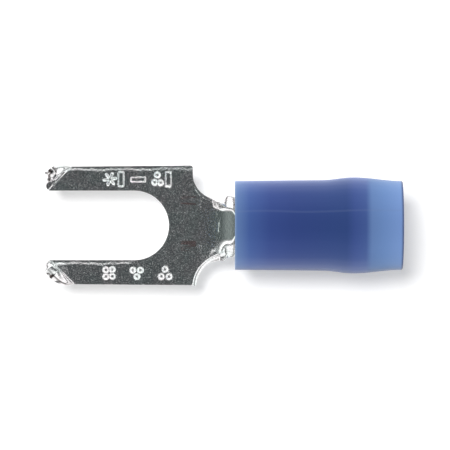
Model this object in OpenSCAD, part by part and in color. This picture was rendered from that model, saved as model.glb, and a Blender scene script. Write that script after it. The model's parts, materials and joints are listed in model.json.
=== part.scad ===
// Insulated flanged fork terminal for a crimped wire. A tinned copper fork with a rolled
// wire barrel, a thin grip sleeve pressed over the barrel, and a nylon insulating sleeve.
// Millimetres. The origin is the centre of the stud slot's round end, on the underside of
// the tongue. +X runs from the fork to the wire mouth. +Z is the side that the tip flanges
// and the barrel's seam stand on.

/* [Tongue] */
// Thickness of the copper sheet
sheet_t = 0.8; // [0.6:0.05:1.0]
// Width of the stud slot
slot_w = 4.3; // [3.4:0.1:5.5]
// From the centre of the slot's round end to the tine tips
tine_reach = 5.5; // [4.5:0.1:8]
// Width of each tine at its tip
tine_w = 1.5; // [1.2:0.05:2.0]
// How much wider each side of the tongue is at its rear corner
side_draft = 0.08; // [0:0.01:0.2]
// Metal behind the slot's round end, up to the rear corners
web_len = 1.5; // [1.0:0.1:3.0]

/* [Flanges] */
// Length of the outer tip corner that is turned up, along the tine
flange_leg = 1.7; // [1.4:0.05:2.2]
// How far the corner is turned up from flat, in degrees
flange_angle = 75; // [40:1:90]
// Inside radius of the fold
fold_r = 0.15; // [0.05:0.05:0.4]
// Width of the blunt point at the top of a flange
flange_point = 0.3; // [0.1:0.05:0.6]
// Bevel on the inner corner of each tip
tip_bevel = 0.35; // [0.1:0.05:0.6]

/* [Neck] */
// Radius of the concave shoulder behind the tongue
shoulder_r = 1.85; // [1.5:0.05:2.1]
// Straight end of the tongue outside the shoulder
shoulder_land = 0.08; // [0.04:0.02:0.3]
// From the rear corners to the line where the sides of the sheet start to turn up
curl_lead = 0.35; // [0.2:0.05:0.6]
// Share of their full curvature that the sides have before they close up
trough_curl = 0.15; // [0.05:0.05:0.4]
// Length over which the sides close up to their full curvature
close_run = 0.75; // [0.4:0.05:0.9]
// From the line where the sides stand upright to the insulating sleeve
shut_lead = 0.25; // [0.2:0.05:0.4]
// Share of the barrel's bore that the flat floor between the sides takes
floor_share = 0.8; // [0.4:0.05:0.85]
// How far the wings that form the barrel start inside the insulating sleeve
wing_set = 0.15; // [0.05:0.05:0.25]
// Width of the flat sheet at the front of the wings
wing_w = 5.7; // [5:0.1:6.5]
// Length of the steep front edge of a wing
wing_front = 0.2; // [0.1:0.05:0.4]
// From the rear corners to the point where the rolled edges meet
seam_lead = 3.95; // [3.2:0.05:5]

/* [Barrel] */
// Outside diameter of the rolled wire barrel
barrel_d = 3.7; // [3.2:0.05:4.4]
// Length of the barrel behind the point where its edges meet
barrel_len = 4; // [3:0.1:6]
// Gap along the butted seam
seam_gap = 0.05; // [0.02:0.01:0.15]
// Number of wire grooves round the inside of the barrel
groove_count = 3; // [1:1:4]
// Distance from one wire groove to the next
groove_pitch = 0.9; // [0.6:0.05:0.9]
// Width of a wire groove
groove_w = 0.4; // [0.2:0.05:0.5]
// Depth of a wire groove
groove_depth = 0.08; // [0.03:0.01:0.15]

/* [Grip sleeve] */
// Wall of the grip sleeve
grip_wall = 0.28; // [0.2:0.01:0.4]
// How far the grip sleeve starts inside the front of the insulating sleeve
grip_setback = 0.3; // [0.1:0.05:0.6]
// Length over which the grip sleeve flares, behind the barrel
flare_run = 2.1; // [1.4:0.1:2.6]
// Straight bell behind the flare
bell_len = 0.8; // [0.4:0.1:1.5]
// Radial clearance between the sleeves and what they are pressed on
fit_gap = 0.01; // [0.005:0.005:0.03]

/* [Insulating sleeve] */
// Neck left in view between the tongue's rear corners and the sleeve
neck_show = 2.6; // [2.4:0.05:3.0]
// Wall of the nylon
sleeve_wall = 0.6; // [0.45:0.05:0.9]
// Radius that the sleeve gains from its front to the start of the bulge
sleeve_taper = 0.055; // [0:0.005:0.1]
// Rise of the bulge over the grip sleeve's flare
bulge_rise = 0.17; // [0.08:0.01:0.3]
// Sleeve behind the end of the grip sleeve
sleeve_overhang = 2.25; // [1.8:0.05:3.5]
// Straight bore at the wire mouth
mouth_land = 0.9; // [0.5:0.05:1.2]
// Bevel that leads the wire into the mouth
mouth_bevel = 0.15; // [0.05:0.01:0.3]
// Rounding of the sleeve's rear rim
rim_r = 0.18; // [0.08:0.01:0.25]

/* [Hidden] */
$fn = 96;

// Formed sections are thinner by this much on each face where they run into flat sheet or
// tube, and they overlap it by this length, so that no two faces coincide
weld = 0.01;
lap = 0.1;
// Longer than any cut has to be
past = 5;

// Tongue
x_tip = -tine_reach;
x_rear = slot_w / 2 + web_len;
half_tip = slot_w / 2 + tine_w;
half_rear = half_tip + side_draft;

// Flange fold, measured on the middle of the sheet
fold_mid_r = fold_r + sheet_t / 2;
flange_reach = (flange_leg - flange_point / 2) / sqrt(2);
flange_steps = 10;

// Rolled barrel
barrel_r = barrel_d / 2;
barrel_mid_r = barrel_r - sheet_t / 2;
barrel_bore_r = barrel_r - sheet_t;
axis_z = barrel_r;
half_girth = PI * barrel_mid_r - seam_gap / 2;
x_neck = x_rear + shoulder_r;
half_neck = half_rear - shoulder_land - shoulder_r;
x_curl = x_rear + curl_lead;
x_sleeve = x_rear + neck_show;
x_grip = x_sleeve + grip_setback;
x_wing = x_sleeve + wing_set;
x_shut = x_sleeve - shut_lead;
x_close = x_shut - close_run;
x_seam = x_rear + seam_lead;
x_barrel_end = x_seam + barrel_len;
groove_lead = (barrel_len - (groove_count - 1) * groove_pitch - groove_w) / 2;
shoulder_steps = 18;
front_steps = 4;
wing_steps = 7;
girth_steps = 12;

// Sleeves
x_bulge = x_barrel_end + flare_run;
x_grip_end = x_bulge + bell_len;
x_mouth = x_grip_end + sleeve_overhang;
grip_r = barrel_r + fit_gap + grip_wall;
bore_r = grip_r + fit_gap;
front_r = bore_r + sleeve_wall;
waist_r = front_r + sleeve_taper;
bulge_r = waist_r + bulge_rise;
bulge_bore_r = bulge_r - sleeve_wall;
bell_r = sleeve_bore(x_grip_end) - fit_gap;
curve_steps = 12;
rim_steps = 5;

// Rises smoothly from 0 to 1 as u goes from 0 to 1
function ease(u) = (1 - cos(180 * max(0, min(1, u)))) / 2;

// Radius of the outside of the nylon at x: a slight taper, the bulge, then back to the front radius
function sleeve_outside(x) =
    x < x_barrel_end ? front_r + sleeve_taper * (x - x_sleeve) / (x_barrel_end - x_sleeve)
    : x < x_bulge ? waist_r + bulge_rise * ease((x - x_barrel_end) / flare_run)
    : bulge_r + (front_r - bulge_r) * ease((x - x_bulge) / (x_mouth - x_bulge));

// Radius of the bore of the nylon at x
function sleeve_bore(x) =
    x < x_bulge ? bore_r + (bulge_bore_r - bore_r) * ease((x - x_barrel_end) / flare_run)
    : bulge_bore_r + (bore_r - bulge_bore_r) * ease((x - x_bulge) / (x_mouth - mouth_land - x_bulge));

// Radius of the outside of the grip sleeve at x: straight, then flared to its bell
function grip_outside(x) = grip_r + (bell_r - grip_r) * ease((x - x_barrel_end) / flare_run);

// Share of their full curvature that the sides of the sheet have at x: little along the
// trough, then quickly all of it where they stand upright
function curl(x) =
    trough_curl * pow(max(0, min(1, (x - x_curl) / (x_close - x_curl))), 2)
    + (1 - trough_curl) * ease((x - x_close) / close_run);

// Half the width of the trough's flat floor at x, which runs out before the grip sleeve
function floor_half(x) = floor_share * barrel_bore_r * (1 - ease((x - x_shut) / (x_grip - x_shut)));

// Half the width of the flat sheet at x: the concave shoulder, the wing's front edge, and the
// wing's slanted edge up to the seam
function blank_half(x) =
    x < x_wing - wing_front
    ? half_neck + shoulder_r - sqrt(pow(shoulder_r, 2) - pow(max(0, x_neck - x), 2))
    : x < x_wing
    ? half_neck + (wing_w / 2 - half_neck) * ease((x - x_wing + wing_front) / wing_front)
    : wing_w / 2 + (half_girth - wing_w / 2) * (x - x_wing) / (x_seam - x_wing);

// A point of the curled sheet at x: s along the sheet from its middle, lift from its mid-surface
function curled(x, s, lift) =
    let (flat = floor_half(x),
         c = curl(x),
         r = (barrel_mid_r - flat) / max(c, 1e-6),
         turn = max(0, abs(s) - flat) / r * 180 / PI)
    c < 1e-6 ? [x, s, sheet_t / 2 + lift]
    : [x, sign(s) * (min(abs(s), flat) + (r - lift) * sin(turn)), sheet_t / 2 + r - (r - lift) * cos(turn)];

// The closed outline of the curled sheet at x, out along its outer face and back along its inner
function sheet_ring(x, half) =
    let (skin = sheet_t / 2 - weld)
    [for (k = [-girth_steps:girth_steps]) curled(x, half * k / girth_steps, -skin),
     for (k = [girth_steps:-1:-girth_steps]) curled(x, half * k / girth_steps, skin)];

// A point of a turned-up tip corner: q past the fold line, w along it, lift from the mid-surface
function folded(q, w, lift) =
    let (turn = max(0, min(flange_angle, q / fold_mid_r * 180 / PI)),
         straight = max(0, q - fold_mid_r * flange_angle * PI / 180),
         out = min(q, 0) + (fold_mid_r - lift) * sin(turn) + straight * cos(flange_angle),
         up = fold_mid_r - (fold_mid_r - lift) * cos(turn) + straight * sin(flange_angle))
    [x_tip + (flange_leg + sqrt(2) * w - sqrt(2) * out) / 2,
     half_tip - (flange_leg - sqrt(2) * w - sqrt(2) * out) / 2,
     sheet_t / 2 + up];

// The closed outline of a flange at q past its fold, cut to the tine's corner
function flange_ring(q) =
    let (skin = sheet_t / 2 - weld,
         legs = flange_leg - sqrt(2) * max(q, 0),
         w_out = legs / sqrt(2) - weld,
         w_in = max(2 * max(0, legs - tine_w) - legs, tip_bevel - tine_w) / sqrt(2) + weld)
    [folded(q, w_out, -skin), folded(q, w_in, -skin), folded(q, w_in, skin), folded(q, w_out, skin)];

// A solid through a row of closed outlines with the same number of points, each outline being
// an outer run and an inner run back of equal length
module loft(rings) {
    n = len(rings[0]);
    last = (len(rings) - 1) * n;
    sides = [for (i = [0:n:last - n], k = [0:n - 1])
        let (a = i + k, b = i + (k + 1) % n)
        each [[a, a + n, b + n], [a, b + n, b]]];
    ends = [for (k = [0:n / 2 - 2])
        each [[k, k + 1, n - 2 - k], [k, n - 2 - k, n - 1 - k],
              [last + k, last + n - 2 - k, last + k + 1], [last + k, last + n - 1 - k, last + n - 2 - k]]];
    polyhedron(points = [for (ring = rings) each ring], faces = concat(sides, ends));
}

// Flat outline of the tongue in front of its rear corners, with the tip corners left off
module tongue_outline() {
    difference() {
        polygon([
            [x_tip, -half_tip], [x_tip + flange_leg, -half_tip], [x_rear, -half_rear],
            [x_rear, half_rear], [x_tip + flange_leg, half_tip], [x_tip, half_tip]
        ]);
        translate([x_tip - past, -slot_w / 2]) square([tine_reach + past, slot_w]);
        circle(d = slot_w);
        for (side = [0, 1]) mirror([0, side]) translate([x_tip, half_tip]) tip_cut();
    }
}

// What is taken off a tip: the corner past the fold line, and the bevel of the inner corner
module tip_cut() {
    polygon([[flange_leg + past, past], [-past, past], [-past, -flange_leg - past]]);
    polygon([[tip_bevel, -tine_w], [tip_bevel - 1, -tine_w + 1], [tip_bevel - 1, -tine_w - 1]]);
}

// The turned-up outer corner of a tine
module tip_flange() {
    loft(concat(
        [flange_ring(-lap)],
        [for (k = [1:flange_steps]) flange_ring(flange_reach * k / flange_steps)]));
}

// The neck and the open front of the barrel, where the flat sheet curls up into a tube
module curled_neck() {
    trough_len = x_wing - wing_front - x_rear;
    stations = concat(
        [for (k = [1:shoulder_steps]) x_rear + trough_len * ease(k / shoulder_steps)],
        [for (k = [1:front_steps]) x_wing - wing_front * (1 - k / front_steps)],
        [for (k = [1:wing_steps - 1]) x_wing + (x_seam - x_wing) * k / wing_steps]);
    loft(concat(
        [sheet_ring(x_rear - lap, half_neck + shoulder_r)],
        [for (x = stations) sheet_ring(x, blank_half(x))],
        [sheet_ring(x_seam + lap, half_girth - weld)]));
}

// The closed part of the wire barrel: a tube with a butted seam on top and grooves inside
module wire_barrel() {
    translate([x_seam, 0, axis_z]) rotate([0, 90, 0]) difference() {
        cylinder(r = barrel_r, h = barrel_len);
        translate([0, 0, -past]) cylinder(r = barrel_bore_r, h = barrel_len + 2 * past);
        for (k = [0:groove_count - 1])
            translate([0, 0, groove_lead + k * groove_pitch])
                cylinder(r = barrel_bore_r + groove_depth, h = groove_w);
        translate([-barrel_d, -seam_gap / 2, -past]) cube([barrel_d, seam_gap, barrel_len + 2 * past]);
    }
}

// Turns a profile of [radius, x] points about the barrel's axis
module turned(profile) {
    translate([0, 0, axis_z]) rotate([0, 90, 0]) rotate_extrude() polygon(profile);
}

// The stamped and rolled fork, one piece of tinned copper
module fork_terminal() {
    color("#b9bcbc") union() {
        linear_extrude(sheet_t) tongue_outline();
        for (side = [0, 1]) mirror([0, side, 0]) tip_flange();
        curled_neck();
        wire_barrel();
    }
}

// The thin drawn sleeve over the barrel, belled behind it to take the wire's insulation
module grip_sleeve() {
    flare = [for (k = [0:curve_steps]) x_barrel_end + flare_run * k / curve_steps];
    stations = concat([x_grip], flare, [x_grip_end]);
    last = len(stations) - 1;
    color("#c4b07a") turned([
        for (x = stations) [grip_outside(x), x],
        for (k = [last:-1:0]) [grip_outside(stations[k]) - grip_wall, stations[k]]
    ]);
}

// The translucent nylon sleeve, bulged where the grip sleeve flares inside it
module insulating_sleeve() {
    rise = [for (k = [0:curve_steps]) x_barrel_end + flare_run * k / curve_steps];
    fall = [for (k = [1:curve_steps]) x_bulge + (x_mouth - rim_r - x_bulge) * k / curve_steps];
    relax = [for (k = [curve_steps:-1:1]) x_bulge + (x_mouth - mouth_land - x_bulge) * k / curve_steps];
    rim_mid = sleeve_outside(x_mouth - rim_r) - rim_r;
    color("#4f68ad") turned([
        [front_r, x_sleeve],
        for (x = concat(rise, fall)) [sleeve_outside(x), x],
        for (k = [1:rim_steps]) let (turn = 90 * k / rim_steps)
            [rim_mid + rim_r * cos(turn), x_mouth - rim_r + rim_r * sin(turn)],
        [bore_r + mouth_bevel, x_mouth],
        [bore_r, x_mouth - mouth_bevel],
        for (x = relax) [sleeve_bore(x), x],
        for (k = [curve_steps:-1:0]) [sleeve_bore(rise[k]), rise[k]],
        [bore_r, x_sleeve]
    ]);
}

fork_terminal();
grip_sleeve();
insulating_sleeve();
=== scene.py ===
"""An insulated flanged fork terminal on a white table, seen from straight above."""
import json

import bmesh
import bpy
import numpy as np
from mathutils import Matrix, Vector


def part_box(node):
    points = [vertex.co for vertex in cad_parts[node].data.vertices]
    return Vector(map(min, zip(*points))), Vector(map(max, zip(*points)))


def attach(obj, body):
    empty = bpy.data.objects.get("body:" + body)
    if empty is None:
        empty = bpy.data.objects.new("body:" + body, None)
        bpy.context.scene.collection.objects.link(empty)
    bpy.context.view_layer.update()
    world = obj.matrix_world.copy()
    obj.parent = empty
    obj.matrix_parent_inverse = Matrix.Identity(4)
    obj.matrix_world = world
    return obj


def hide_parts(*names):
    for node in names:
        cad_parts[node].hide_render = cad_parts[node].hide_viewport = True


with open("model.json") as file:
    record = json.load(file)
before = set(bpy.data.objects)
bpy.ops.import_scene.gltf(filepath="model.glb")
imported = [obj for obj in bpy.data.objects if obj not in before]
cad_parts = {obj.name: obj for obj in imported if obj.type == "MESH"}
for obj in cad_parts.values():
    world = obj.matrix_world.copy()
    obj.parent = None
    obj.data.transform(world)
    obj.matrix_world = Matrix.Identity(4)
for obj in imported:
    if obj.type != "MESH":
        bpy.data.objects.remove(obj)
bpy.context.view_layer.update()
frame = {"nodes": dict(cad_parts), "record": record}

# Fork terminal. One piece of tinned copper sheet, punched as a flat blank with two tines and two
# wings, marked with hand stamps, turned up at the tips and rolled to the wire barrel. The punch
# leaves a rolled edge on the upper face and a squarer one below.
mm = 0.001
mounts = {mount["name"]: mount for mount in frame["record"]["mounts"]}
slot_r = mounts["stud_slot"]["dims"]["r_mm"] * mm
sheet = mounts["stud_slot"]["dims"]["length_mm"] * mm
tip_x = -5.5 * mm
tine_w = 1.5 * mm
web_w = 1.5 * mm
side_draft = 0.08 * mm
rear_x = slot_r + web_w
half_tip = slot_r + tine_w
barrel_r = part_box("fork_terminal")[1][2] / 2
barrel_mid_r = barrel_r - sheet / 2
barrel_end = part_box("fork_terminal")[1][0]
sleeve_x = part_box("insulating_sleeve")[0][0]
grip_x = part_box("grip_sleeve")[0][0]
wing_x = sleeve_x + 0.15 * mm
seam_x = rear_x + 3.95 * mm
seam_gap = 0.05 * mm
half_girth = np.pi * barrel_mid_r - seam_gap / 2
roll_w = 0.025 * mm
roll_depth = 0.06 * mm
burr_depth = 0.04 * mm
rows = 40


def straight(start, end, n):
    """n points from start towards end, evenly spaced, without the end itself."""
    share = np.arange(n)[:, None] / n
    return (1 - share) * np.asarray(start) + share * np.asarray(end)


def arc(centre, radius, first, last, n):
    """n points round a centre from the angle first towards last, in degrees, without the last."""
    turn = np.radians(first + (last - first) * np.arange(n) / n)
    return np.asarray(centre) + radius * np.stack([np.cos(turn), np.sin(turn)], axis=-1)


def outer_y(x):
    """Half the tongue's width at x, less the rolled edge: a straight side that widens to the rear."""
    return half_tip - roll_w + side_draft * (x - tip_x) / (rear_x - tip_x)


def ease(share):
    """Rises from 0 to 1 as half a cosine wave."""
    return (1 - np.cos(np.pi * np.clip(share, 0, 1))) / 2


def blank_half(side):
    """The flat upper face of one half of the blank, as a grid of columns by rows of (x, y).

    Each column runs straight from an inner to an outer point. The inner points follow the
    slot's edge, its round end and then the middle line of the sheet, where both halves have
    the same points. The outer points follow the tine's side, the rear corner, the concave
    shoulder, the trough's edge, the wing's steep front, its slanted edge and the seam. The
    first columns fan out from the tip's own outline, with its round inner and cropped outer
    corner. Everything stops short of the true outline by the width of the rolled edge. The
    die has left the neck a little nearer to one side, so the shoulders differ.
    """
    fan_n, tine_n, round_n, web_n, corner_n = 64, 110, 84, 24, 8
    shoulder_n, neck_n, front_n, wing_n, barrel_n = 46, 10, 16, 40, 24
    inner_r = slot_r + roll_w
    fan_x = -3.6 * mm
    web_x = 2.75 * mm
    web_end = 3.15 * mm
    corner_end = 3.4 * mm
    spine_x = rear_x + 1.6 * mm
    corner_r = 0.14 * mm
    corner_x = rear_x - roll_w - corner_r
    shoulder_r = (1.6 if side > 0 else 2.0) * mm + roll_w
    half_neck = (1.63 if side > 0 else 1.82) * mm - roll_w
    rear_y = outer_y(rear_x) - corner_r
    middle_y = half_neck + shoulder_r
    lead = np.degrees(np.arcsin(max(0.0, middle_y - rear_y) / shoulder_r))
    middle_x = rear_x - roll_w + shoulder_r * np.cos(np.radians(lead))
    land_n = 6 if lead == 0 else 0
    front_x = wing_x - 0.18 * mm
    front_end = wing_x + 0.1 * mm
    wing_half = 2.85 * mm - roll_w
    seam_y = half_girth - roll_w
    end_x = barrel_end - roll_w
    steep = ease(np.arange(front_n) / front_n)[:, None]
    inner = np.concatenate([
        straight((fan_x, inner_r), (0, inner_r), tine_n),
        arc((0, 0), inner_r, 90, 0, round_n),
        straight((inner_r, 0), (web_end, 0), web_n),
        straight((web_end, 0), (corner_end, 0), corner_n),
        straight((corner_end, 0), (spine_x, 0), shoulder_n),
        straight((spine_x, 0), (front_x, 0), neck_n),
        straight((front_x, 0), (front_end, 0), front_n),
        straight((front_end, 0), (seam_x, 0), wing_n),
        straight((seam_x, 0), (end_x, 0), barrel_n),
        [(end_x, 0)],
    ])
    outer = np.concatenate([
        straight((fan_x, outer_y(fan_x)), (0, outer_y(0)), tine_n),
        straight((0, outer_y(0)), (web_x, outer_y(web_x)), round_n),
        straight((web_x, outer_y(web_x)), (corner_x, outer_y(rear_x)), web_n),
        arc((corner_x, rear_y), corner_r, 90, 0, corner_n),
        straight((rear_x - roll_w, rear_y), (rear_x - roll_w, middle_y), land_n),
        arc((middle_x, middle_y), shoulder_r, 180 + lead, 270, shoulder_n - land_n),
        straight((middle_x, half_neck), (front_x, half_neck), neck_n),
        straight((front_x, half_neck), (front_end, half_neck), front_n)
        + steep * (0, wing_half - half_neck),
        straight((front_end, wing_half), (seam_x, seam_y), wing_n),
        straight((seam_x, seam_y), (end_x, seam_y), barrel_n),
        [(end_x, seam_y)],
    ])
    round_tip_n, crop_n = 10, 12
    tip_r = 0.3 * mm
    tip_edge = tip_x + roll_w
    end_y = half_tip - (0.38 if side > 0 else 0.86) * mm
    crop_x, crop_y = (0.28, 0.05) if side > 0 else (0.30, 0.36)
    point = np.array([tip_x + crop_x * mm, half_tip - crop_y * mm])
    side_x = tip_x + (0.9 if side > 0 else 1.25) * mm
    tip = np.concatenate([
        arc((tip_x + tip_r, slot_r + tip_r), tip_r - roll_w, 270, 180, round_tip_n),
        straight((tip_edge, slot_r + tip_r), (tip_edge, end_y), rows - round_tip_n - 2 * crop_n),
        straight((tip_edge, end_y), point, crop_n),
        straight(point, (side_x, outer_y(side_x)), crop_n),
        [(side_x, outer_y(side_x))],
    ])
    across = np.linspace(0, 1, rows + 1)[None, :, None]
    body = inner[:, None] * (1 - across) + outer[:, None] * across
    along = (np.arange(fan_n) / fan_n)[:, None, None]
    fan = tip[None] * (1 - along) + body[:1] * along
    return np.concatenate([fan, body])


def rim_path(grid):
    """The grid's free border as (column, row) pairs: slot, tip, outer side, then the barrel's end."""
    columns = grid.shape[0]
    slot_end = int(np.argmax(np.abs(grid[:, 0, 1]) < 1e-9))
    column = np.concatenate([
        np.arange(slot_end, 0, -1),
        np.zeros(rows, int),
        np.arange(columns - 1),
        np.full(rows + 1, columns - 1),
    ])
    row = np.concatenate([
        np.zeros(slot_end, int),
        np.arange(rows),
        np.full(columns - 1, rows),
        np.arange(rows, -1, -1),
    ])
    return column, row


def outward(path):
    """Unit normals to the left of a path of points, from the chord between each point's neighbours."""
    before = np.concatenate([path[1:2] * (1, -1), path[:-1]])
    after = np.concatenate([path[1:], path[-2:-1] * (1, -1)])
    chord = after - before
    normal = np.stack([-chord[:, 1], chord[:, 0]], axis=-1)
    return normal / np.linalg.norm(normal, axis=-1, keepdims=True)


def groove(distance, floor, wall):
    """A pressed groove's depth: 1 over its floor, then down to 0 over the width of its wall."""
    return 1 - ease((distance - floor) / wall)


def cut(distance, half_width):
    """A chisel cut's depth: 1 at its middle line, and straight down to 0 at its two edges."""
    return np.clip(1 - distance / half_width, 0, 1)


def segment(x, y, half_length, turn):
    """Distance from a line of that half length through the origin, at an angle in degrees."""
    along = x * np.cos(np.radians(turn)) + y * np.sin(np.radians(turn))
    across = y * np.cos(np.radians(turn)) - x * np.sin(np.radians(turn))
    return np.hypot(np.maximum(np.abs(along) - half_length, 0), across)


def stamped_marks(x, y):
    """Depth of the bench marks in the tines: a star, bars, a dash and clusters of dimples.

    The star is three crossed chisel cuts, a bar is a flat-bottomed groove, and a dimple is the
    cap of a sphere. Every mark sits in a shallow dish that the blow leaves round it.
    """
    depth = 0.085 * mm
    wall = 0.085 * mm
    dimple_r = 0.21 * mm
    upper_row = 2.87 * mm
    lower_row = -2.98 * mm
    bars = [
        (-0.82 * mm, upper_row, 0.12 * mm, 0.40 * mm, 1),
        (0.25 * mm, upper_row - 0.02 * mm, 0.40 * mm, 0.12 * mm, 2.5),
        (2.12 * mm, upper_row, 0.12 * mm, 0.40 * mm, 1),
    ]
    clusters = [
        (1.44 * mm, upper_row, [(0, 0.26), (-0.17, -0.2), (0.19, -0.22)]),
        (-1.56 * mm, lower_row, [(-0.2, 0.22), (0.2, 0.24), (-0.2, -0.2), (0.2, -0.18)]),
        (0.15 * mm, lower_row, [(-0.23, 0.2), (0.23, 0.2), (0.02, -0.2)]),
        (1.92 * mm, lower_row, [(0, 0.25), (-0.24, -0.2), (0.24, -0.2)]),
    ]
    star_x = -1.5 * mm
    star_half = 0.36 * mm
    cuts = [segment(x - star_x, y - upper_row, star_half, turn) for turn in (8, 68, 128)]
    total = depth * cut(np.minimum.reduce(cuts), wall)
    for middle_x, middle_y, half_x, half_y, steep in bars:
        past_x = np.maximum(np.abs(x - middle_x) - half_x, 0)
        past_y = np.maximum(np.abs(y - middle_y) - half_y, 0)
        total += depth * groove(np.hypot(past_x, steep * past_y), 0, wall)
    for middle_x, middle_y, dimples in clusters:
        for right, up in dimples:
            off = np.hypot(x - middle_x - right * mm, y - middle_y - up * mm)
            total += depth * np.maximum(1 - (off / dimple_r) ** 2, 0)
    dish = 0.014 * mm
    dish_r = 0.75 * mm
    for middle_x, middle_y in [(star_x, upper_row)] + [mark[:2] for mark in bars + clusters]:
        total += dish * np.exp(-((x - middle_x) ** 2 + (y - middle_y) ** 2) / dish_r ** 2)
    return total


def sheared_edges(x, y):
    """Depth of the lip that the punch draws down along one tine's outer edge and the other's slot.

    A narrow flat at the edge, of wavering width, then a slope up to the face. It goes on round
    the shoulder behind the first tine, narrower there.
    """
    lip_depth = 0.045 * mm
    behind_depth = 0.022 * mm
    shoulder_r = 1.6 * mm
    shoulder_y = 3.23 * mm
    waver = 0.03 * np.sin(x / (0.45 * mm)) + 0.015 * np.sin(x / (0.17 * mm) + 1)
    outer_edge = outer_y(x) + roll_w - y
    slot_edge = np.where(x < 0, -y, np.hypot(x, y)) - slot_r
    edge = np.maximum(np.where(y > 0, outer_edge, slot_edge), 0)
    lip_end = np.where(y > 0, rear_x - 0.1 * mm, -0.4 * mm)
    lip = groove(edge, (0.10 + waver) * mm, 0.22 * mm) * (1 - ease((x - lip_end) / (0.5 * mm)))
    shoulder = np.hypot(x - rear_x - shoulder_r, y - shoulder_y) - shoulder_r
    behind = ease((x - rear_x) / (0.3 * mm)) * (1 - ease((x - rear_x - 1.2 * mm) / (0.3 * mm)))
    behind = behind * groove(np.maximum(shoulder, 0), 0.12 * mm, 0.12 * mm) * (y > 0)
    return lip_depth * lip + behind_depth * behind


def past_score(x, y):
    """How far a point lies past the tip's score line, at 45 degrees to the tine, and how far along it."""
    leg = np.where(y > 0, 1.60, 1.80) * mm
    in_x = x - tip_x
    in_y = half_tip - np.abs(y)
    return (leg - in_x - in_y) / np.sqrt(2), (in_x - in_y) / np.sqrt(2)


def forming_dents(x, y):
    """Depth of what the forming tools leave, negative where raised.

    One tine is pulled up towards its fold, as a square. Behind the tongue there are a small
    bell and a ragged bend at the trough's edges, a crease across it, and the die's line.
    """
    past, along = past_score(x, y)
    pull = np.clip((past + 0.6 * mm) / (0.5 * mm), 0, 1) ** 2 * (y < 0)
    pull = pull * groove(np.abs(along - 0.1 * mm), 0.1 * mm, 0.7 * mm)
    bell_x, bell_y, bell_r = 4.95 * mm, -1.72 * mm, 0.14 * mm
    bell = np.exp(-((x - bell_x) ** 2 + (y - bell_y) ** 2) / bell_r ** 2)
    bend_x, bend_y, bend_end = 4.96 * mm, 1.13 * mm, 5.3 * mm
    ragged = 0.02 * mm * np.sin(x / (0.05 * mm))
    past_bend = np.maximum(y - bend_y + 0.4 * (x - bend_x) + ragged, 0)
    bend = ease((x - 4.9 * mm) / (0.1 * mm)) * (1 - ease((x - bend_end) / (0.45 * mm)))
    raised = 0.05 * mm * pull + 0.035 * mm * bell + 0.42 * past_bend * bend
    crease = segment(x - 5.19 * mm, y + 0.14 * mm, 0.3 * mm, 88)
    die_line = segment(x - (rear_x + 0.46 * mm), np.abs(y) - 1.45 * mm, 0.4 * mm, 90)
    return 0.02 * mm * cut(crease, 0.05 * mm) + 0.012 * mm * cut(die_line, 0.07 * mm) - raised


def rubbed_patches(x, y):
    """Share of the brown rubbing on the web, in two oblong patches."""
    middle_y = np.where(y > 0, 1.47, -1.27) * mm
    along = ease((x - 2.8 * mm) / (0.2 * mm)) * (1 - ease((x - 3.78 * mm) / (0.12 * mm)))
    return along * groove(np.abs(y - middle_y), 0.26 * mm, 0.14 * mm)


def tip_shade_line(along, height, side):
    """Share of the painted shade on a folded tip's sheared edge: a nearly black line drawn on it.

    It runs along the middle of the sheet's thickness, and turns down across it at the point,
    with a small loop beside it.
    """
    point = (0.03 if side > 0 else -0.08) * mm
    run = np.where(side * (along - point) < 0, 1.0, 0.25)
    climb = (0.36 * ease(-along / (0.7 * mm)) if side > 0 else 0.0) * mm
    middle = run * groove(np.abs(height + 0.06 * mm - climb), 0.03 * mm, 0.06 * mm)
    across = groove(np.abs(along - point), 0.03 * mm, 0.07 * mm) * (height < 0)
    loop_r = 0.14 * mm
    off_loop = np.abs(np.hypot(along - point + 0.17 * mm, height + 0.36 * mm) - loop_r)
    loop = groove(off_loop, 0.02 * mm, 0.06 * mm)
    return np.clip(middle + across + loop, 0, 1)


def fold_tips(x, y, lift):
    """Turns up the outer tip corners past a score line, as a bend of constant radius.

    A point's way past the start of the bend, which is a little later towards one end, is
    carried round the fold's middle radius until the full turn, and straight on from there,
    with its lift from the mid-surface kept, a little thinner on the outside of the bend.
    """
    turn_full = np.radians(78)
    fold_r = 0.1 * mm + sheet / 2
    outside_thin = 0.25
    past, along = past_score(x, y)
    near_late = 0.05 + 0.26 * ease(-along / (0.7 * mm))
    far_late = 0.04 * ease(along / (0.8 * mm))
    bent = np.maximum(past - np.where(y > 0, near_late, far_late) * mm, 0)
    turn = np.minimum(bent / fold_r, turn_full)
    rest = np.maximum(bent - fold_r * turn_full, 0)
    thin = lift * (1 - outside_thin * ease(bent / (0.6 * mm)) * (lift < 0))
    out = (fold_r - thin) * np.sin(turn) + rest * np.cos(turn_full) - bent
    rise = fold_r - (fold_r - thin) * np.cos(turn) + rest * np.sin(turn_full) - thin
    return x - out / np.sqrt(2), y + np.sign(y) * out / np.sqrt(2), thin + rise


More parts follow.
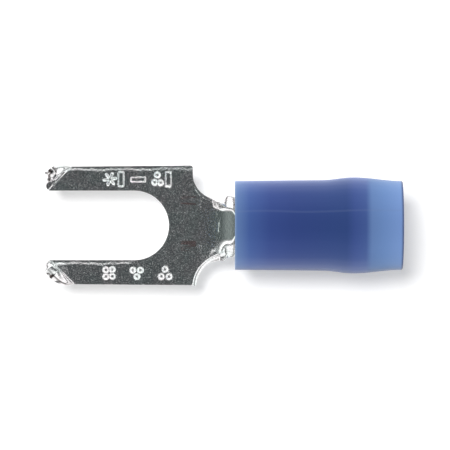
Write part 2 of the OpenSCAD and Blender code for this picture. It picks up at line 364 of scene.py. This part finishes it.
def curl_wings(x, s, lift):
    """Turns up the sheet's sides about a flat floor, and closes them round the barrel's axis.

    The sides have little of their full curvature along the trough, rising as a square from
    the die line, and gain the rest as two half cosine waves, outside the sleeve and inside it.
    One side closes a little sooner. The floor keeps its width nearly until there, and runs out
    before the grip sleeve. A point past the floor's edge lies on a circle of that curvature,
    inside or outside it by its lift. The upper face of the floor swells up into the barrel, as
    a stop for the wire.
    """
    die_x = rear_x + 0.35 * mm
    shut_x = sleeve_x - 0.25 * mm
    close_x = shut_x - 0.75 * mm
    trough, outside, inside = 0.15, 0.55, 0.3
    inside_len = 0.65 * mm
    share = trough * np.clip((x - die_x) / (close_x - die_x), 0, 1) ** 2
    share = share + outside * ease((x - close_x) / (0.6 * mm))
    share = share + inside * ease((x - grip_x + inside_len) / inside_len)
    share = np.minimum(share * np.where(s > 0, 1.25, 1.0), 1)
    floor_x = shut_x + 0.1 * mm
    flat = 0.8 * (barrel_r - sheet) * (1 - ease((x - floor_x) / (grip_x - floor_x)))
    radius = (barrel_mid_r - flat) / np.maximum(share, 1e-5)
    turn = np.maximum(np.abs(s) - flat, 0) / radius
    out = np.minimum(np.abs(s), flat) + (radius - lift) * np.sin(turn)
    stop_h = 0.31 * mm
    stop_half = 2.2 * mm
    hump = ease((x - sleeve_x + 1.35 * mm) / (2.0 * mm))
    hump = hump * (1 - ease((x - grip_x - 0.4 * mm) / (0.8 * mm)))
    stop = stop_h * hump * np.exp(-(s / stop_half) ** 6) * (lift / sheet + 0.5)
    return np.sign(s) * out, lift + (radius - lift) * (1 - np.cos(turn)) + stop


def grid_quads(index):
    """The quads between a grid's point numbers, each from a point to the next column and next row."""
    corners = [index[:-1, :-1], index[1:, :-1], index[1:, 1:], index[:-1, 1:]]
    return np.stack(corners, axis=-1).reshape(-1, 4)


def formed_half(side):
    """One half of the terminal, as points and quads: upper face, lower face and the rim between.

    The rim carries the sheared edge's profile round the border: a quarter ellipse from the
    upper face, a straight side, and a tighter quarter ellipse into the lower face. Along one
    shoulder the lower part of the side leans out as a bevel, where the sheet tore, and round
    the folded tips it is worn back on the inside. The shares of each mark at the points come
    with them: painted shade as dark lines at the tips and on the other rims, brown rubbing, the
    burnish of rolled and sheared parts, and a painted greenish reflection on the trough's floor.
    """
    grid = blank_half(side)
    columns = grid.shape[0]
    count = columns * (rows + 1)
    index = np.arange(count).reshape(columns, rows + 1)
    flat = grid.reshape(-1, 2) * (1, side)
    x, y = flat.T
    score_dip = 0.035 * mm
    press = stamped_marks(x, y) + sheared_edges(x, y) + forming_dents(x, y)
    press = press + score_dip * ease(past_score(x, y)[0] / (0.07 * mm) + 0.5)
    upper = np.column_stack([flat, sheet / 2 - press])
    lower = np.column_stack([flat, np.full(count, -sheet / 2)])

    column, row = rim_path(grid)
    border = index[column, row]
    path = grid[column, row]
    path_x = path[:, 0]
    turn = np.radians(np.linspace(15, 90, 5))
    down = np.linspace(0, 1, 10)[1:-1]
    side_top = sheet / 2 - roll_depth
    side_low = burr_depth - sheet / 2
    bow = np.concatenate([np.sin(turn), np.ones_like(down), np.sin(turn[::-1])])[:, None]
    height = np.concatenate([
        side_top + roll_depth * np.cos(turn),
        side_top + (side_low - side_top) * down,
        side_low - burr_depth * np.cos(turn[::-1]),
    ])[:, None]
    tear_w = 0.26 * mm
    tear_h = 0.15 * mm
    tear = ease((path_x - rear_x + 0.1 * mm) / (0.06 * mm)) * (side < 0)
    tear = tear * (1 - ease((path_x - sleeve_x + 0.75 * mm) / (0.4 * mm)))
    past, along = past_score(path_x, side * path[:, 1])
    folded = ease(past / (0.5 * mm))
    tip_worn = 0.2 * mm
    lean = tear_w * tear * np.clip((tear_h - sheet / 2 - height) / tear_h, 0, 1)
    lean = lean - tip_worn * folded * ease((height + 0.05 * mm) / (0.45 * mm))
    ring = (path + outward(path) * (roll_w * bow + lean)[..., None]) * (1, side)
    fade = np.clip((height + sheet / 2) / sheet, 0, 1) ** 2
    ring_z = height - press[border] * fade
    rim = np.concatenate([ring, ring_z[..., None]], axis=-1)

    # Painted shade: a dark colour along the sheared rims, fading out at the folded tips, the torn bevel
    # and towards the barrel.
    rim_shade = 0.7 * (1 - folded) * (1 - tear) * (1 - ease((path_x - 4.6 * mm) / (0.4 * mm)))
    edge_shade = folded * tip_shade_line(along, height, side) + rim_shade
    rolled = 0.85 * ease((x - 5.0 * mm) / (0.6 * mm))
    # Painted reflection: a faint green tint on the trough's floor.
    floor_reflection = ease((x - 4.2 * mm) / (1.2 * mm)) * groove(np.abs(y), 0.75 * mm, 0.35 * mm)
    wear_and_painted_light = {
        "edge_shade": np.concatenate([np.zeros(2 * count), edge_shade.ravel()]),
        "rub": np.concatenate([rubbed_patches(x, y), np.zeros(count + edge_shade.size)]),
        "burnish": np.concatenate([rolled, rolled, np.full(edge_shade.size, 0.7)]),
        "floor_reflection": np.concatenate([floor_reflection, floor_reflection, np.zeros(edge_shade.size)]),
    }

    points = np.concatenate([upper, lower, rim.reshape(-1, 3)])
    folded_x, folded_s, lift = fold_tips(*points.T)
    formed_y, formed_z = curl_wings(folded_x, folded_s, lift)
    points = np.column_stack([folded_x, formed_y, formed_z + sheet / 2])
    rings = 2 * count + np.arange(edge_shade.size).reshape(edge_shade.shape)
    levels = np.concatenate([border[None], rings, count + border[None]])
    face = grid_quads(index)
    quads = np.concatenate([face, face[:, ::-1] + count, grid_quads(levels.T)])
    return points, quads if side > 0 else quads[:, ::-1], wear_and_painted_light


def mesh_piece(name, points, quads, shares=None):
    """A smooth-shaded object at the origin from points and quads, with named shares at the points."""
    mesh = bpy.data.meshes.new(name)
    mesh.vertices.add(len(points))
    mesh.vertices.foreach_set("co", points.astype(np.float32).ravel())
    mesh.loops.add(quads.size)
    mesh.loops.foreach_set("vertex_index", quads.astype(np.int32).ravel())
    mesh.polygons.add(len(quads))
    mesh.polygons.foreach_set("loop_start", np.arange(0, quads.size, 4, dtype=np.int32))
    mesh.update(calc_edges=True)
    for share, values in (shares or {}).items():
        attribute = mesh.attributes.new(share, "FLOAT", "POINT")
        attribute.data.foreach_set("value", values.astype(np.float32))
    shape = bmesh.new()
    shape.from_mesh(mesh)
    bmesh.ops.remove_doubles(shape, verts=shape.verts, dist=1e-8)
    shape.to_mesh(mesh)
    shape.free()
    mesh.shade_smooth()
    piece = bpy.data.objects.new(name, mesh)
    bpy.context.collection.objects.link(piece)
    return piece


near_points, near_quads, near_wear_and_light = formed_half(1)
far_points, far_quads, far_wear_and_light = formed_half(-1)
terminal = mesh_piece(
    "fork_body",
    np.concatenate([near_points, far_points]),
    np.concatenate([near_quads, far_quads + len(near_points)]),
    {kind: np.concatenate([near_wear_and_light[kind], far_wear_and_light[kind]]) for kind in near_wear_and_light})


def feed(tree, socket, value):
    """Links a socket to another one, or sets it to a plain value."""
    if isinstance(value, bpy.types.NodeSocket):
        tree.links.new(value, socket)
    else:
        socket.default_value = value


def add_node(tree, kind, **inputs):
    """A shader node of one kind, with its named inputs set to a value or linked to a socket."""
    made = tree.nodes.new(kind)
    for name, value in inputs.items():
        feed(tree, made.inputs[name.replace("_", " ")], value)
    return made


def math_node(tree, operation, first, second):
    """One arithmetic node on two sockets or plain numbers, as its output socket."""
    made = tree.nodes.new("ShaderNodeMath")
    made.operation = operation
    feed(tree, made.inputs[0], first)
    feed(tree, made.inputs[1], second)
    return made.outputs[0]


def ramp_node(tree, value, stops, interpolation="LINEAR"):
    """A colour that runs through stops of (place, colour) as a value grows, as its output socket."""
    made = add_node(tree, "ShaderNodeValToRGB", Fac=value)
    made.color_ramp.interpolation = interpolation
    elements = made.color_ramp.elements
    elements[0].position = stops[0][0]
    elements[1].position = stops[-1][0]
    for place, _ in stops[1:-1]:
        elements.new(place)
    for element, (_, colour) in zip(elements, stops):
        element.color = (*colour, 1)
    return made.outputs["Color"]


def blend_node(tree, share, first, second):
    """A colour that goes from the first to the second with a share, as its output socket."""
    made = tree.nodes.new("ShaderNodeMix")
    made.data_type = "RGBA"
    feed(tree, made.inputs["Factor"], share)
    feed(tree, made.inputs[6], first)
    feed(tree, made.inputs[7], second)
    return made.outputs[2]


def share_node(tree, name):
    """The socket that reads the named share at the mesh's points, which is 0 where there is none."""
    made = tree.nodes.new("ShaderNodeAttribute")
    made.attribute_name = name
    return made.outputs["Fac"]


def tin_plate_group():
    """Electroplated tin: grey with faint warm and cool clouds, and a fine bright and dark grain.

    Outputs a colour, a roughness and a height in grain units, all read from Object coordinates.
    """
    group = bpy.data.node_groups.new("tin_plate", "ShaderNodeTree")
    group.interface.new_socket("Color", in_out="OUTPUT", socket_type="NodeSocketColor")
    for name in ("Roughness", "Height"):
        group.interface.new_socket(name, in_out="OUTPUT", socket_type="NodeSocketFloat")
    warm, cool = (1.0, 0.97, 0.98), (0.94, 1.0, 0.99)
    dark, bright = (0.78, 0.78, 0.78), (1.0, 1.0, 1.0)
    place = add_node(group, "ShaderNodeTexCoord").outputs["Object"]
    cloud = add_node(group, "ShaderNodeTexNoise", Vector=place, Scale=900.0, Detail=4.0)
    grain = add_node(group, "ShaderNodeTexNoise", Vector=place, Scale=9000.0, Detail=2.0, Roughness=0.7)
    tint = ramp_node(group, cloud.outputs["Fac"], [(0.35, warm), (0.65, cool)])
    fleck = ramp_node(group, grain.outputs["Fac"], [(0.32, dark), (0.68, bright)])
    plate = group.nodes.new("ShaderNodeVectorMath")
    plate.operation = "MULTIPLY"
    feed(group, plate.inputs[0], tint)
    feed(group, plate.inputs[1], fleck)
    haze = add_node(group, "ShaderNodeMapRange", Value=grain.outputs["Fac"], To_Min=0.08, To_Max=0.20)
    out = group.nodes.new("NodeGroupOutput")
    feed(group, out.inputs["Color"], plate.outputs["Vector"])
    feed(group, out.inputs["Roughness"], haze.outputs["Result"])
    feed(group, out.inputs["Height"], grain.outputs["Fac"])
    return group


def tin_material(name, group, grain_depth):
    """Polished metal in the tin plate's colour and roughness, with its grain as a shallow bump.

    The points' burnish takes the grain down, where the sheet was rolled and sheared. Their
    painted reflection takes the colour to a faint green on the trough's floor, their rub to brown
    in ribs along the tongue, and their painted shade to nearly black on the rims and tips.
    """
    floor_reflection_tone = (0.84, 0.95, 0.91, 1)
    rub_tone = (0.66, 0.50, 0.49, 1)
    edge_shade_tone = (0.09, 0.07, 0.065, 1)
    material = bpy.data.materials.new(name)
    material.use_nodes = True
    tree = material.node_tree
    shader = tree.nodes["Principled BSDF"]
    shader.inputs["Metallic"].default_value = 1.0
    plate = tree.nodes.new("ShaderNodeGroup")
    plate.node_tree = group
    place = add_node(tree, "ShaderNodeTexCoord").outputs["Object"]
    grain_share = math_node(tree, "SUBTRACT", 1.0, share_node(tree, "burnish"))
    bump = add_node(
        tree, "ShaderNodeBump",
        Height=plate.outputs["Height"], Distance=grain_depth, Strength=grain_share)
    stretch = add_node(tree, "ShaderNodeMapping", Vector=place, Scale=(500, 5000, 500))
    ribs = add_node(
        tree, "ShaderNodeTexNoise", Vector=stretch.outputs["Vector"], Scale=1.0, Detail=1.0)
    rib = add_node(tree, "ShaderNodeMapRange", Value=ribs.outputs["Fac"], From_Min=0.4, From_Max=0.6)
    rubbed = math_node(tree, "MULTIPLY", rib.outputs["Result"], share_node(tree, "rub"))
    # Painted reflection: the trough's floor takes a faint green tint.
    colour = blend_node(tree, share_node(tree, "floor_reflection"), plate.outputs["Color"], floor_reflection_tone)
    colour = blend_node(tree, rubbed, colour, rub_tone)
    # Painted shade: the rims and tips go nearly black.
    colour = blend_node(tree, share_node(tree, "edge_shade"), colour, edge_shade_tone)
    feed(tree, shader.inputs["Base Color"], colour)
    feed(tree, shader.inputs["Roughness"], plate.outputs["Roughness"])
    feed(tree, shader.inputs["Normal"], bump.outputs["Normal"])
    return material


tin_plate = tin_plate_group()
terminal.data.materials.append(tin_material("tinned_sheet", tin_plate, 0.03 * mm))
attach(terminal, "root")
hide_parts("fork_terminal")

# Grip sleeve. A thin drawn tube pressed over the barrel and belled behind it, tinned like the
# fork. The solid has its true form, so only its finish is set.
grip = frame["nodes"]["grip_sleeve"]
grip.data.materials.clear()
grip.data.materials.append(tin_material("tinned_tube", tin_plate, 0.02 * mm))

# Insulating sleeve. A tube of translucent blue nylon, moulded with a slight taper and pushed
# over both metal pieces. It bulges over the grip sleeve's bell and is open at both ends.
sleeve_low, sleeve_high = (np.array(corner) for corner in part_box("insulating_sleeve"))
axis_z = (sleeve_low[2] + sleeve_high[2]) / 2
bulge_r = (sleeve_high[2] - sleeve_low[2]) / 2
wall_t = 0.6 * mm
front_x = sleeve_low[0]
mouth_x = sleeve_high[0] - 0.13 * mm
mouth_r = mounts["insulation_mouth"]["dims"]["r_mm"] * mm
front_r = mouth_r + wall_t
waist_r = front_r + 0.055 * mm
bulge_x = barrel_end + 2.1 * mm
bulge_bore_r = bulge_r - wall_t


def sleeve_outside(x):
    """Outer radius at x: a straight taper to the barrel's end, then a half cosine up to the bulge
    and another back down to the mouth."""
    taper = front_r + (waist_r - front_r) * np.clip((x - front_x) / (barrel_end - front_x), 0, 1)
    crest_x = bulge_x - 0.1 * mm
    rise = (bulge_r - waist_r) * ease((x - barrel_end) / (crest_x - barrel_end))
    fall = (bulge_r - front_r) * ease((x - crest_x) / (mouth_x - crest_x))
    return taper + rise - fall


def sleeve_inside(x):
    """Bore radius at x: straight over the barrel, bulged over the bell, straight again at the mouth."""
    land = 0.9 * mm
    rise = ease((x - barrel_end) / (bulge_x - barrel_end))
    fall = ease((x - bulge_x) / (mouth_x - land - bulge_x))
    return mouth_r + (bulge_bore_r - mouth_r) * (rise - fall)


def sleeve_profile():
    """The wall's closed outline as (x, radius): outside, rounded rear rim, bevelled bore, and front."""
    rim_r = 0.08 * mm
    front_edge = 0.05 * mm
    bevel = 0.15 * mm
    outside_x = np.linspace(front_x + front_edge, mouth_x - rim_r, 90)
    inside_x = np.linspace(mouth_x - bevel, front_x + front_edge, 70)
    outside = np.column_stack([outside_x, sleeve_outside(outside_x)])
    rim = arc((mouth_x - rim_r, outside[-1, 1] - rim_r), rim_r, 90, 0, 8)[1:]
    lip = arc((mouth_x - bevel / 2, mouth_r + bevel), bevel / 2, 0, -90, 6)
    inside = np.column_stack([inside_x, sleeve_inside(inside_x)])
    bore_edge = arc((front_x + front_edge, mouth_r + front_edge), front_edge, 270, 180, 5)[1:]
    face_edge = arc((front_x + front_edge, front_r - front_edge), front_edge, 180, 90, 5)
    return np.concatenate([outside, rim, lip, inside, bore_edge, face_edge])


def turned(profile, steps):
    """Carries a closed (x, radius) profile round the barrel's axis in even steps, as a closed skin."""
    turn = np.linspace(0, 2 * np.pi, steps, endpoint=False)[:, None]
    x = np.broadcast_to(profile[:, 0], (steps, len(profile)))
    y = profile[:, 1] * np.sin(turn)
    z = axis_z + profile[:, 1] * np.cos(turn)
    index = np.arange(steps * len(profile)).reshape(steps, len(profile))
    beside = np.roll(index, -1, axis=0)
    quads = np.stack([index, np.roll(index, -1, axis=1), np.roll(beside, -1, axis=1), beside], axis=-1)
    return np.stack([x, y, z], axis=-1).reshape(-1, 3), quads.reshape(-1, 4)


sleeve = mesh_piece("nylon_sleeve", *turned(sleeve_profile(), 160))


def nylon_material():
    """Blue nylon, with the light and shade of its clear wall painted into its colour along the sleeve.

    Painted shade makes it dark over the metal and a little less dark over the bell; painted
    light makes it pale where it is hollow behind the bell and where light enters at the front,
    with a painted dark line at the mouth's rim. Its own scatter glows at the edges, but only over
    the metal. Its skin is smooth, with faint draw lines and a painted pale, wavering highlight on top.
    """
    bell_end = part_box("grip_sleeve")[1][0] - 0.1 * mm
    metal_end = bell_end - 0.1 * mm
    # Painted light and shade along the sleeve: dark where metal lies under the clear wall, pale where it
    # is hollow or lit from the front, and a painted dark line at the mouth's rim.
    hollow_x = bell_end + 0.25 * mm
    mouth_shade = (0.07, 0.10, 0.22)
    shades = [
        (front_x, (0.24, 0.35, 0.55)),
        (front_x + 0.15 * mm, (0.132, 0.234, 0.476)),
        (front_x + 0.9 * mm, (0.062, 0.127, 0.377)),
        (front_x + 2.2 * mm, (0.037, 0.075, 0.288)),
        (front_x + 3.6 * mm, (0.030, 0.063, 0.252)),
        (bulge_x - 0.6 * mm, (0.027, 0.065, 0.236)),
        (bulge_x - 0.1 * mm, (0.044, 0.087, 0.302)),
        (metal_end, (0.058, 0.113, 0.338)),
        (hollow_x, (0.149, 0.258, 0.508)),
        (mouth_x - 1.2 * mm, (0.174, 0.300, 0.575)),
        (mouth_x - 0.16 * mm, (0.222, 0.358, 0.655)),
        (mouth_x - 0.03 * mm, mouth_shade),
        (mouth_x, mouth_shade),
    ]
    material = bpy.data.materials.new("blue_nylon")
    material.use_nodes = True
    tree = material.node_tree
    shader = tree.nodes["Principled BSDF"]
    shader.inputs["Roughness"].default_value = 0.36
    shader.inputs["IOR"].default_value = 1.53
    shader.inputs["Specular IOR Level"].default_value = 0.12
    shader.inputs["Diffuse Roughness"].default_value = 1.0
    shader.inputs["Sheen Roughness"].default_value = 0.6
    shader.inputs["Sheen Tint"].default_value = (0.56, 0.67, 1.0, 1)
    place = add_node(tree, "ShaderNodeTexCoord").outputs["Object"]
    axes = add_node(tree, "ShaderNodeSeparateXYZ", Vector=place)
    along = add_node(
        tree, "ShaderNodeMapRange", Value=axes.outputs["X"], From_Min=front_x, From_Max=mouth_x)
    stops = [((x - front_x) / (mouth_x - front_x), colour) for x, colour in shades]
    depth = ramp_node(tree, along.outputs["Result"], stops)
    glow = add_node(
        tree, "ShaderNodeMapRange", Value=axes.outputs["X"],
        From_Min=metal_end, From_Max=hollow_x, To_Min=0.5, To_Max=0.0)
    feed(tree, shader.inputs["Sheen Weight"], glow.outputs["Result"])
    # Painted highlight: a pale, wavering line along the top of the sleeve.
    wave = add_node(tree, "ShaderNodeTexNoise", Vector=place, Scale=250.0, Detail=0.0)
    waver = math_node(tree, "MULTIPLY", wave.outputs["Fac"], 0.3 * mm)
    line_y = math_node(tree, "ADD", waver, 0.72 * mm)
    off_line = math_node(tree, "SUBTRACT", axes.outputs["Y"], line_y)
    highlight_strip = add_node(
        tree, "ShaderNodeMapRange", Value=math_node(tree, "ABSOLUTE", off_line, 0.0),
        From_Max=0.09 * mm, To_Min=0.16, To_Max=0.0)
    on_top = math_node(tree, "GREATER_THAN", axes.outputs["Z"], axis_z)
    line_share = math_node(tree, "MULTIPLY", highlight_strip.outputs["Result"], on_top)
    skin = blend_node(tree, line_share, depth, (0.20, 0.27, 0.45, 1))
    feed(tree, shader.inputs["Base Color"], skin)
    stretch = add_node(tree, "ShaderNodeMapping", Vector=place, Scale=(60, 2500, 2500))
    lines = add_node(
        tree, "ShaderNodeTexNoise", Vector=stretch.outputs["Vector"], Scale=1.0, Detail=3.0)
    bump = add_node(tree, "ShaderNodeBump", Height=lines.outputs["Fac"], Distance=0.01 * mm)
    feed(tree, shader.inputs["Normal"], bump.outputs["Normal"])
    return material


sleeve.data.materials.append(nylon_material())
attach(sleeve, "root")
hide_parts("insulating_sleeve")

# Table. A large sheet of white card a little below the part, so that the shadow falls soft and a
# little apart from it.
table_z = sleeve_low[2] - 1.6 * mm
table_half = 600 * mm
table_x = np.array([-1, 1, 1, -1]) * table_half
table_y = np.array([-1, -1, 1, 1]) * table_half
table_points = np.column_stack([table_x, table_y, np.full(4, table_z)])
table = mesh_piece("table", table_points, np.array([[0, 1, 2, 3]]))


def seen_directly(tree):
    """1 for a ray from the camera, or one that metal or a clear wall has sent on, and 0 for others."""
    ray = add_node(tree, "ShaderNodeLightPath")
    total = ray.outputs["Is Camera Ray"]
    for name in ("Is Glossy Ray", "Is Transmission Ray"):
        total = math_node(tree, "MAXIMUM", total, ray.outputs[name])
    return total


def table_material():
    """White card that scatters all light alike, lifted to plain white for what looks at it directly."""
    lift = 0.36
    material = bpy.data.materials.new("white_card")
    material.use_nodes = True
    tree = material.node_tree
    shader = tree.nodes["Principled BSDF"]
    shader.inputs["Base Color"].default_value = (0.88, 0.88, 0.88, 1)
    shader.inputs["Roughness"].default_value = 1.0
    shader.inputs["Specular IOR Level"].default_value = 0.0
    shader.inputs["Emission Color"].default_value = (1, 1, 1, 1)
    lifted = math_node(tree, "MULTIPLY", seen_directly(tree), lift)
    feed(tree, shader.inputs["Emission Strength"], lifted)
    return material


table.data.materials.append(table_material())

# Studio. A large soft key from the upper left casts the shadow, with nearly even white light from
# all round. Metal mirrors a tent of bright walls, with a dim ceiling and a dark gap under them.
key_share = 0.7
key_tilt = np.radians(11)
key_data = bpy.data.lights.new("key", "SUN")
key_data.energy = key_share * np.pi / np.cos(key_tilt) ** 2
key_data.angle = np.radians(18)
key = bpy.data.objects.new("key", key_data)
bpy.context.collection.objects.link(key)
key.rotation_euler = (-key_tilt, -key_tilt, 0)
key.visible_glossy = False


def tent_world():
    """White to the camera, the rest of the light to matt surfaces, and the tent to shiny ones.

    The tent's brightness eases from the gap to the walls and from them to the ceiling with the
    direction's height. Both the tent and the light for matt surfaces grow a little towards +Y.
    """
    lean = 0.2
    tent_light = 1.35
    fill = 1 - key_share
    gap, wall, ceiling = (0.05, 0.05, 0.05), (1, 1, 1), (0.046, 0.051, 0.053)
    world = bpy.data.worlds.new("light_tent")
    world.use_nodes = True
    tree = world.node_tree
    direction = add_node(tree, "ShaderNodeTexCoord").outputs["Generated"]
    axes = add_node(tree, "ShaderNodeSeparateXYZ", Vector=direction)
    bands = [(0.12, gap), (0.42, wall), (0.60, wall), (0.97, ceiling)]
    tone = ramp_node(tree, axes.outputs["Z"], bands, "EASE")
    leaning = math_node(tree, "MULTIPLY", axes.outputs["Y"], lean)
    tent = tree.nodes.new("ShaderNodeVectorMath")
    tent.operation = "SCALE"
    feed(tree, tent.inputs[0], tone)
    feed(tree, tent.inputs["Scale"], math_node(tree, "ADD", leaning, tent_light))
    matt_lean = math_node(tree, "MULTIPLY", axes.outputs["Y"], lean * fill)
    matt_light = math_node(tree, "ADD", matt_lean, fill)
    ray = add_node(tree, "ShaderNodeLightPath")
    lit = blend_node(tree, ray.outputs["Is Glossy Ray"], matt_light, tent.outputs["Vector"])
    direct = math_node(tree, "MAXIMUM", ray.outputs["Is Camera Ray"], ray.outputs["Is Transmission Ray"])
    seen = blend_node(tree, direct, lit, (1, 1, 1, 1))
    feed(tree, tree.nodes["Background"].inputs["Color"], seen)
    return world


bpy.context.scene.world = tent_world()

# Camera. A long lens straight above the terminal, with the fork to the left.
camera_data = bpy.data.cameras.new("camera")
camera = bpy.data.objects.new("camera", camera_data)
bpy.context.collection.objects.link(camera)
centre_x = 5.64 * mm
centre_y = 0.025 * mm
camera_height = 280 * mm
frame_width = 27.95 * mm
sensor = 36.0
camera.location = (centre_x, centre_y, camera_height + sheet)
camera_data.sensor_width = sensor
camera_data.lens = sensor * camera_height / frame_width
camera_data.clip_start = 0.001
bpy.context.scene.camera = camera
bpy.context.scene.view_settings.view_transform = "Standard"
